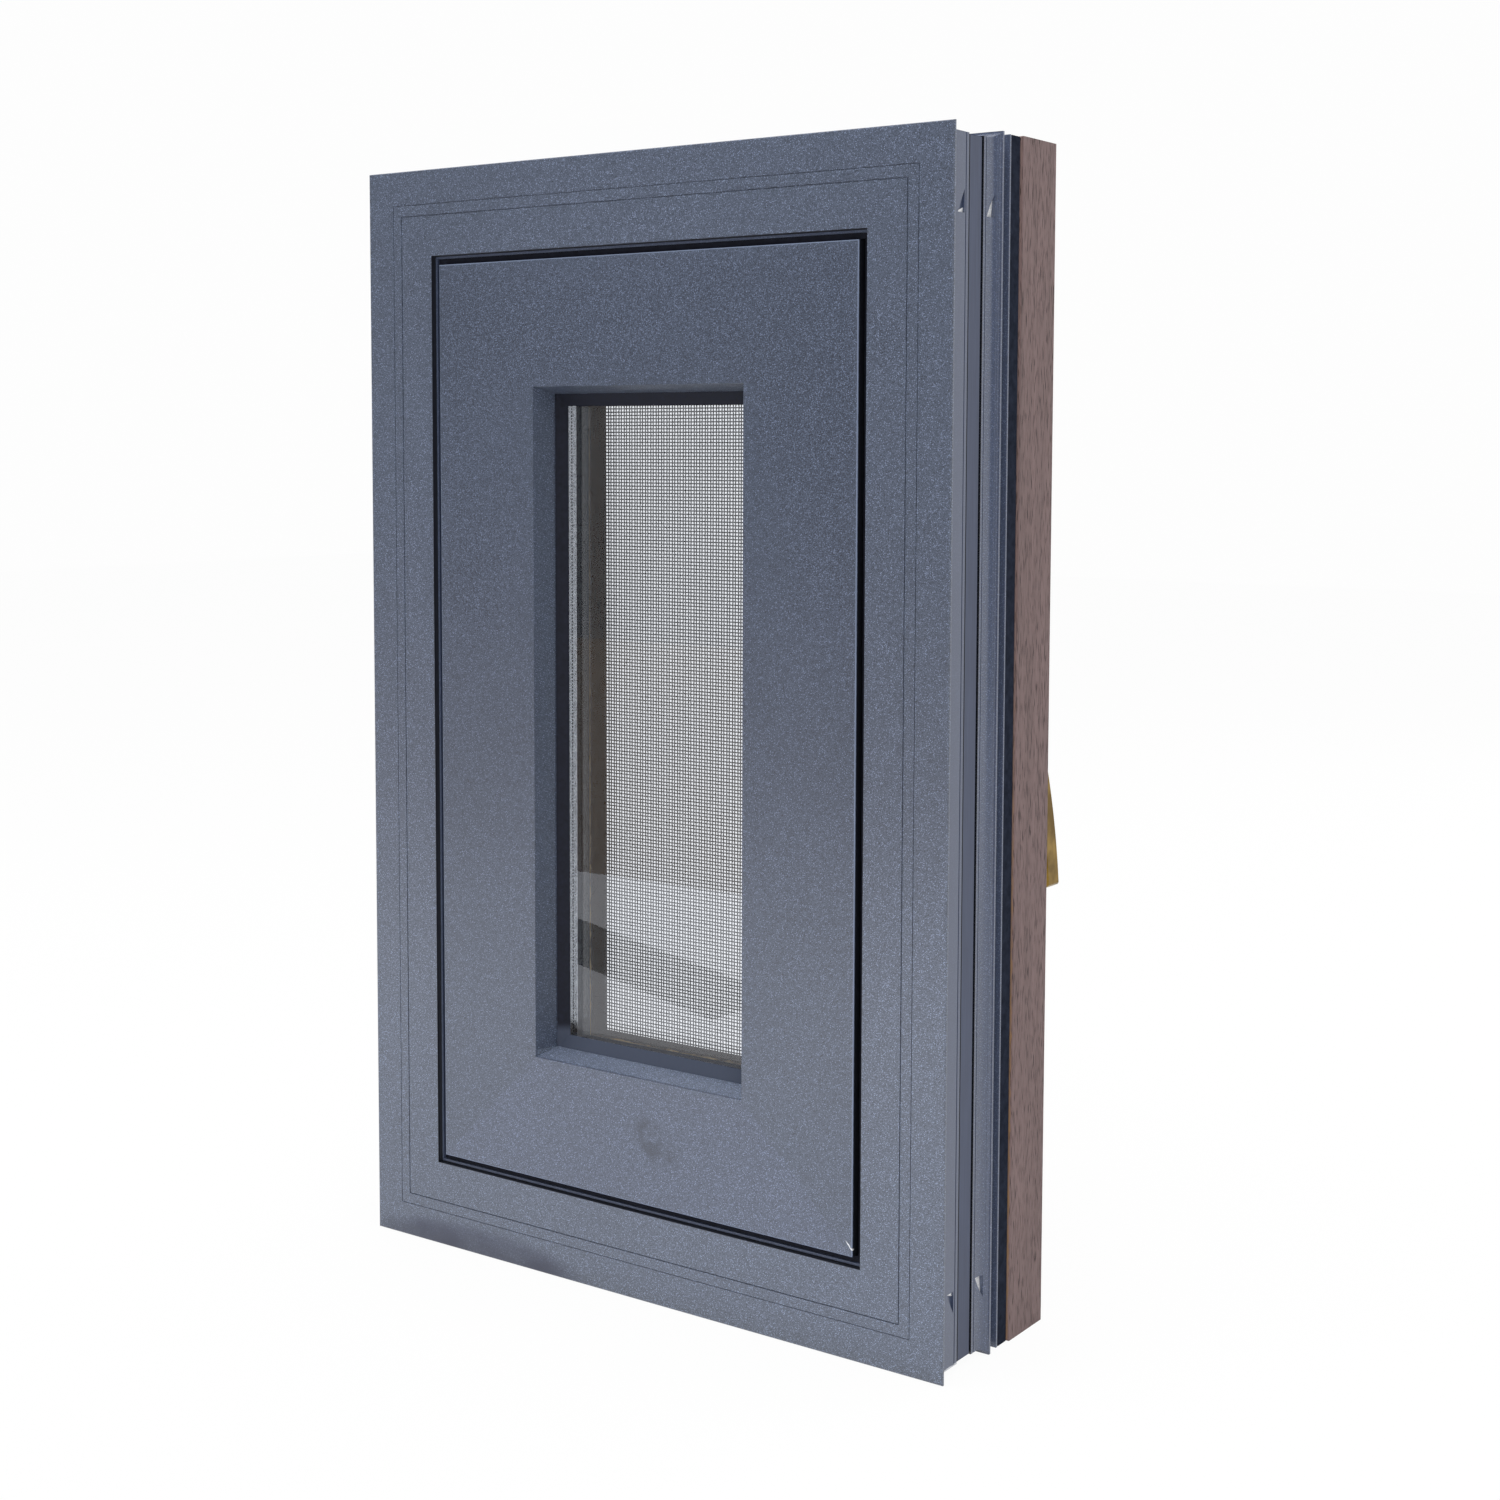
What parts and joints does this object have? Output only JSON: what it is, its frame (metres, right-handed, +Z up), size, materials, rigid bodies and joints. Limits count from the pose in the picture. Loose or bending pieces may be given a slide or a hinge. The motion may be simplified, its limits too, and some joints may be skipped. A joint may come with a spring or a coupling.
{
  "type": "aluminium clad wood window",
  "caption": "Upright casement window of slate coated, thermally broken aluminium with a wood lined room side, double glazing, an insect screen and a brass lock lever.",
  "frame": {"origin": "middle of the bottom of the whole window, lock lever included, at the height of the flange's bottom edge", "axes": "+X along the width, to the right seen from outside; +Y from the outside into the room; +Z up"},
  "size_m": [0.375, 0.154, 0.6],
  "materials": {
    "coated_aluminium": "speckled slate powder coat",
    "stained_wood": "stained, open pores",
    "polyamide": "matte",
    "dark_plastic": "satin",
    "clear_glass": "clear",
    "bare_aluminium": "satin",
    "black_rubber": "matte",
    "black_mesh": "black coated wire",
    "brass": "satin"
  },
  "bodies": {
    "window": {"frame_cladding_bottom": "coated_aluminium", "frame_cladding_left": "coated_aluminium", "frame_cladding_right": "coated_aluminium", "frame_cladding_top": "coated_aluminium", "frame_inner_bottom": "coated_aluminium", "frame_inner_left": "coated_aluminium", "frame_inner_right": "coated_aluminium", "frame_inner_top": "coated_aluminium", "frame_spacers": "dark_plastic", "frame_thermal_breaks": "polyamide", "frame_weather_seal": "black_rubber", "frame_wood_bottom": "stained_wood", "frame_wood_left": "stained_wood", "frame_wood_right": "stained_wood", "frame_wood_top": "stained_wood", "glass_inner": "clear_glass", "glass_outer": "clear_glass", "glass_spacer_bar": "bare_aluminium", "glazing_gasket_inner": "black_rubber", "glazing_gasket_outer": "black_rubber", "lock_base": "brass", "sash_cladding_bottom": "coated_aluminium", "sash_cladding_left": "coated_aluminium", "sash_cladding_right": "coated_aluminium", "sash_cladding_top": "coated_aluminium", "sash_inner_bottom": "coated_aluminium", "sash_inner_left": "coated_aluminium", "sash_inner_right": "coated_aluminium", "sash_inner_top": "coated_aluminium", "sash_stop_gaskets": "black_rubber", "sash_thermal_breaks": "polyamide", "sash_wood_bottom": "stained_wood", "sash_wood_left": "stained_wood", "sash_wood_right": "stained_wood", "sash_wood_top": "stained_wood", "screen_frame_bottom": "coated_aluminium", "screen_frame_left": "coated_aluminium", "screen_frame_right": "coated_aluminium", "screen_frame_top": "coated_aluminium", "screen_mesh": "black_mesh", "screen_seals": "black_rubber"},
    "lever": {"lock_lever": "brass"}
  },
  "joints": [
    {"name": "lever_swing", "type": "hinge", "parent": "window", "child": "lever", "pos_m": [0.1585, 0.04, 0.316], "axis": [1, 0, 0], "range_deg": [0, 120]}
  ]
}
